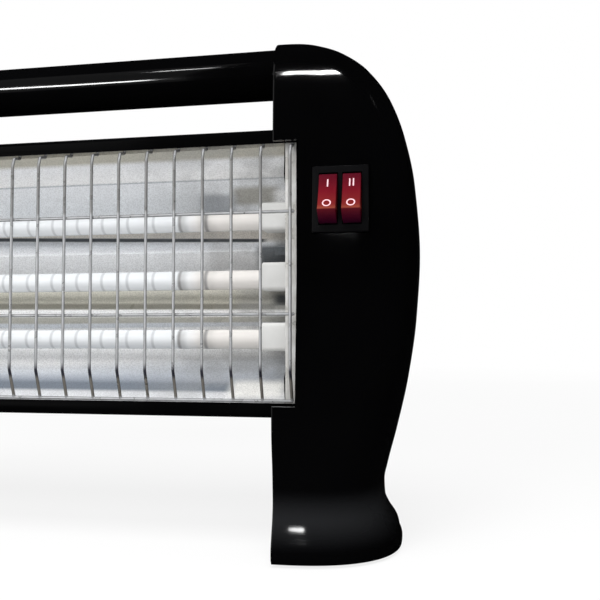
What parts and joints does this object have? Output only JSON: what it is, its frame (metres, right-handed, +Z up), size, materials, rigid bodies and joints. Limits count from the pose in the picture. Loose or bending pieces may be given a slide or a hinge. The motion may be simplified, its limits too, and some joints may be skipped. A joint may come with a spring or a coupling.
{
  "type": "quartz heater",
  "caption": "Free-standing quartz heater with glossy side casings, round handle, wire guard, folded reflector, heating tubes and a double rocker switch.",
  "frame": {"origin": "middle of the underside of the four feet's box, on the floor", "axes": "+X to the heater's right as it is seen from the front, +Y to its back, +Z up"},
  "size_m": [0.4042, 0.118, 0.2475],
  "materials": {
    "gloss_black_casing": "piano black, polished",
    "black_plastic": "fine satin grain",
    "switch_black": "fine satin grain",
    "foot_rubber": "matt",
    "black_paint": "semi-gloss stove enamel",
    "bright_reflector": "bright rolled sheet",
    "chrome_wire": "bright plated wire",
    "milky_quartz": "milky, smooth",
    "resistance_wire": "dark oxide",
    "white_ceramic": "unglazed",
    "red_rocker": "deep red, lightly polished",
    "brass_strip": "stamped",
    "lead_sleeve": "woven glass sleeve",
    "zinc_steel": "zinc plated"
  },
  "bodies": {
    "heater": {"common_strap": "brass_strip", "cord_gland": "black_plastic", "guard_grille": "chrome_wire", "handle_tube": "black_paint", "heating_coil_lower": "resistance_wire", "heating_coil_middle": "resistance_wire", "heating_coil_upper": "resistance_wire", "housing_shell": "black_paint", "lead_cutout": "lead_sleeve", "lead_live": "lead_sleeve", "lead_lower": "lead_sleeve", "lead_neutral": "lead_sleeve", "lead_upper": "lead_sleeve", "left_cap_lower": "white_ceramic", "left_cap_middle": "white_ceramic", "left_cap_upper": "white_ceramic", "left_casing_shell": "gloss_black_casing", "left_cover_screw_front": "zinc_steel", "left_cover_screw_middle": "zinc_steel", "left_cover_screw_rear": "zinc_steel", "left_cover_screw_top": "zinc_steel", "left_front_foot": "foot_rubber", "left_handle_plug": "black_plastic", "left_handle_screw": "zinc_steel", "left_inner_cover": "black_plastic", "left_rear_foot": "foot_rubber", "left_reflector_end": "bright_reflector", "link_strap": "brass_strip", "quartz_tube_lower": "milky_quartz", "quartz_tube_middle": "milky_quartz", "quartz_tube_upper": "milky_quartz", "reflector": "bright_reflector", "right_cap_lower": "white_ceramic", "right_cap_middle": "white_ceramic", "right_cap_upper": "white_ceramic", "right_casing_shell": "gloss_black_casing", "right_cover_screw_front": "zinc_steel", "right_cover_screw_middle": "zinc_steel", "right_cover_screw_rear": "zinc_steel", "right_cover_screw_top": "zinc_steel", "right_front_foot": "foot_rubber", "right_handle_plug": "black_plastic", "right_handle_screw": "zinc_steel", "right_inner_cover": "black_plastic", "right_rear_foot": "foot_rubber", "right_reflector_end": "bright_reflector", "switch_body": "switch_black", "switch_tab_common": "brass_strip", "switch_tab_one": "brass_strip", "switch_tab_two": "brass_strip", "terminal_block": "white_ceramic", "thermal_cutout": "zinc_steel", "tilt_switch_case": "black_plastic", "tilt_switch_pin": "zinc_steel"},
    "rocker_one": {"rocker_one": "red_rocker"},
    "rocker_two": {"rocker_two": "red_rocker"},
    "tilt_pendulum": {"tilt_pendulum": "zinc_steel"}
  },
  "joints": [
    {"name": "rocker_one_rock", "type": "hinge", "parent": "heater", "child": "rocker_one", "pos_m": [0.1611, -0.04114, 0.16469], "axis": [1, 0, 0], "range_deg": [0, 36]},
    {"name": "rocker_two_rock", "type": "hinge", "parent": "heater", "child": "rocker_two", "pos_m": [0.1721, -0.04114, 0.16469], "axis": [1, 0, 0], "range_deg": [0, 36]},
    {"name": "tilt_pendulum_swing", "type": "hinge", "parent": "heater", "child": "tilt_pendulum", "pos_m": [0.1431, -0.0043, 0.046], "axis": [1, 0, 0], "range_deg": [-28, 28]}
  ]
}
